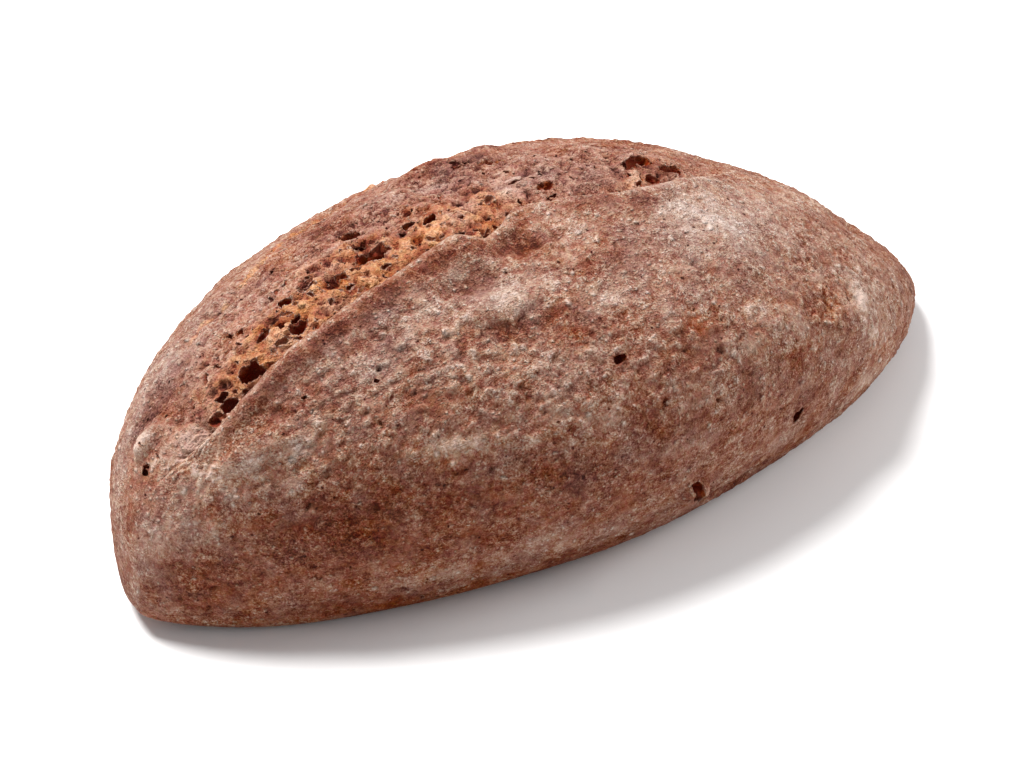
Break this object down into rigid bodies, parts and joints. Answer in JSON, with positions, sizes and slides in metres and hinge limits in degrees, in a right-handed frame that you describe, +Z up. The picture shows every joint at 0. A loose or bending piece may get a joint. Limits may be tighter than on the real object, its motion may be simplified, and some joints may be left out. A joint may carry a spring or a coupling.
{
  "type": "rye bread loaf",
  "caption": "Whole oval rye bread loaf, pointed at both ends and flat underneath, with a long slash along its crest that has burst open into a thin crust ear and torn, holed crumb.",
  "frame": {"origin": "middle of the loaf's bounding box, on the surface it stands on", "axes": "+X along the loaf towards its narrow end, +Y towards the far side, which the slash opens to, +Z up"},
  "size_m": [0.25, 0.1256, 0.0809],
  "materials": {
    "crust": "dry baked rye crust, matte red-brown with a dusting of greyish flour, and orange-brown torn crumb along the slash"
  },
  "bodies": {
    "root": {"rye_loaf": "crust"}
  },
  "joints": []
}
